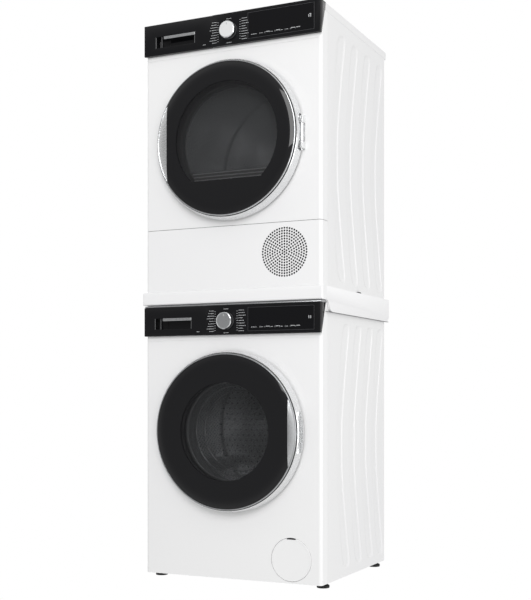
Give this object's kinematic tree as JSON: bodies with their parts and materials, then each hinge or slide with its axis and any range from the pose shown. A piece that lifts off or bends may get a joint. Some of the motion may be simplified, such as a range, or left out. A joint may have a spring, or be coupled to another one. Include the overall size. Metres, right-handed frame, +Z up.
{
  "type": "washer dryer stack",
  "caption": "Front-loading washer with a tumble dryer stacked on it by a joining frame, both with round glass doors, black control fascias and pull-out drawers.",
  "frame": {"origin": "on the floor, in the middle of the bounding box in X and Y", "axes": "+Z up, -Y towards the user in front of the doors, +X to the right as seen from the front"},
  "size_m": [0.61, 0.623, 1.724],
  "materials": {
    "white_enamel": "semi-gloss enamel",
    "side_enamel": "semi-gloss enamel",
    "fascia_black": "high gloss",
    "display_glass": "high gloss",
    "silver_trim": "satin metallic",
    "door_chrome": "chrome plated, polished",
    "door_glass": "smoked, gloss",
    "bowl_glass": "clear, gloss",
    "drum_steel": "satin",
    "galvanised": "galvanised sheet",
    "motor_metal": "cast, painted",
    "motor_alloy": "die cast",
    "heat_pump_case": "moulded",
    "seal_rubber": "matte",
    "light_plastic": "moulded",
    "dark_plastic": "moulded",
    "kit_plastic": "satin moulded",
    "concrete": "rough"
  },
  "bodies": {
    "cabinet": {"washer_front_panel": "white_enamel", "dryer_front_panel": "white_enamel", "dryer_service_panel": "white_enamel", "washer_left_side": "side_enamel", "washer_right_side": "side_enamel", "dryer_left_side": "side_enamel", "dryer_right_side": "side_enamel", "dryer_top_cover": "kit_plastic", "washer_top_plate": "kit_plastic", "kit_front_rail": "kit_plastic", "kit_left_skirt": "kit_plastic", "kit_right_skirt": "kit_plastic", "kit_rear_rail": "kit_plastic", "washer_fascia": "fascia_black", "dryer_fascia": "fascia_black", "washer_display": "display_glass", "dryer_display": "display_glass", "washer_rear_panel": "galvanised", "dryer_rear_panel": "galvanised", "washer_door_hinge": "galvanised", "dryer_door_hinge": "galvanised", "washer_motor_stator": "motor_alloy", "dryer_motor": "motor_alloy", "dryer_heat_pump": "heat_pump_case", "washer_door_seal": "seal_rubber", "dispenser_housing": "light_plastic", "washer_drain_pump": "light_plastic", "dryer_bulkhead": "light_plastic", "dryer_lint_filter": "light_plastic", "washer_base": "dark_plastic", "dryer_base": "dark_plastic", "washer_tub": "dark_plastic", "washer_damper_left": "dark_plastic", "washer_damper_right": "dark_plastic", "washer_counterweight": "concrete"},
    "washer_door": {"washer_door_ring": "door_chrome", "washer_door_glass": "door_glass", "washer_door_bowl": "bowl_glass", "washer_door_handle": "silver_trim"},
    "dryer_door": {"dryer_door_ring": "door_chrome", "dryer_door_glass": "door_glass", "dryer_door_inner": "dark_plastic", "dryer_door_handle": "silver_trim"},
    "washer_drum": {"washer_drum": "drum_steel", "washer_drum_rotor": "motor_metal"},
    "dryer_drum": {"dryer_drum": "drum_steel"},
    "washer_knob": {"washer_knob": "silver_trim"},
    "dryer_knob": {"dryer_knob": "silver_trim"},
    "detergent_drawer": {"detergent_drawer_front": "fascia_black", "detergent_handle_strip": "silver_trim", "detergent_tray": "light_plastic"},
    "water_tank": {"tank_drawer_front": "fascia_black", "tank_handle_strip": "silver_trim", "water_tank": "light_plastic"},
    "filter_hatch": {"washer_filter_hatch": "white_enamel"},
    "filter_plug": {"washer_filter_plug": "dark_plastic"},
    "foot_front_left": {"washer_foot_front_left": "seal_rubber"},
    "foot_front_right": {"washer_foot_front_right": "seal_rubber"},
    "foot_rear_left": {"washer_foot_rear_left": "seal_rubber"},
    "foot_rear_right": {"washer_foot_rear_right": "seal_rubber"}
  },
  "joints": [
    {"name": "washer_door_hinge", "type": "hinge", "parent": "cabinet", "child": "washer_door", "pos_m": [-0.24, -0.2755, 0.461], "axis": [0, 0, -1], "range_deg": [0, 120]},
    {"name": "dryer_door_hinge", "type": "hinge", "parent": "cabinet", "child": "dryer_door", "pos_m": [0.24, -0.2755, 1.34], "axis": [0, 0, 1], "range_deg": [0, 120]},
    {"name": "washer_drum_spin", "type": "hinge", "parent": "cabinet", "child": "washer_drum", "pos_m": [0, 0, 0.461], "axis": [0, 1, 0], "continuous": true},
    {"name": "dryer_drum_spin", "type": "hinge", "parent": "cabinet", "child": "dryer_drum", "pos_m": [0, 0, 1.34], "axis": [0, 1, 0], "continuous": true},
    {"name": "washer_knob_turn", "type": "hinge", "parent": "cabinet", "child": "washer_knob", "pos_m": [-0.01, -0.2755, 0.795], "axis": [0, 1, 0], "continuous": true},
    {"name": "dryer_knob_turn", "type": "hinge", "parent": "cabinet", "child": "dryer_knob", "pos_m": [0, -0.2755, 1.67], "axis": [0, 1, 0], "continuous": true},
    {"name": "detergent_drawer_slide", "type": "slide", "parent": "cabinet", "child": "detergent_drawer", "axis": [0, -1, 0], "range_m": [0, 0.2]},
    {"name": "water_tank_slide", "type": "slide", "parent": "cabinet", "child": "water_tank", "axis": [0, -1, 0], "range_m": [0, 0.4]},
    {"name": "filter_hatch_hinge", "type": "hinge", "parent": "cabinet", "child": "filter_hatch", "pos_m": [0.2, -0.264, 0.0225], "axis": [1, 0, 0], "range_deg": [0, 95]},
    {"name": "filter_plug_turn", "type": "hinge", "parent": "cabinet", "child": "filter_plug", "pos_m": [0.2, -0.2485, 0.085], "axis": [0, 1, 0], "range_deg": [-180, 0]},
    {"name": "foot_front_left_screw", "type": "slide", "parent": "cabinet", "child": "foot_front_left", "axis": [0, 0, -1], "range_m": [0, 0.012]},
    {"name": "foot_front_right_screw", "type": "slide", "parent": "cabinet", "child": "foot_front_right", "axis": [0, 0, -1], "range_m": [0, 0.012]},
    {"name": "foot_rear_left_screw", "type": "slide", "parent": "cabinet", "child": "foot_rear_left", "axis": [0, 0, -1], "range_m": [0, 0.012]},
    {"name": "foot_rear_right_screw", "type": "slide", "parent": "cabinet", "child": "foot_rear_right", "axis": [0, 0, -1], "range_m": [0, 0.012]}
  ]
}
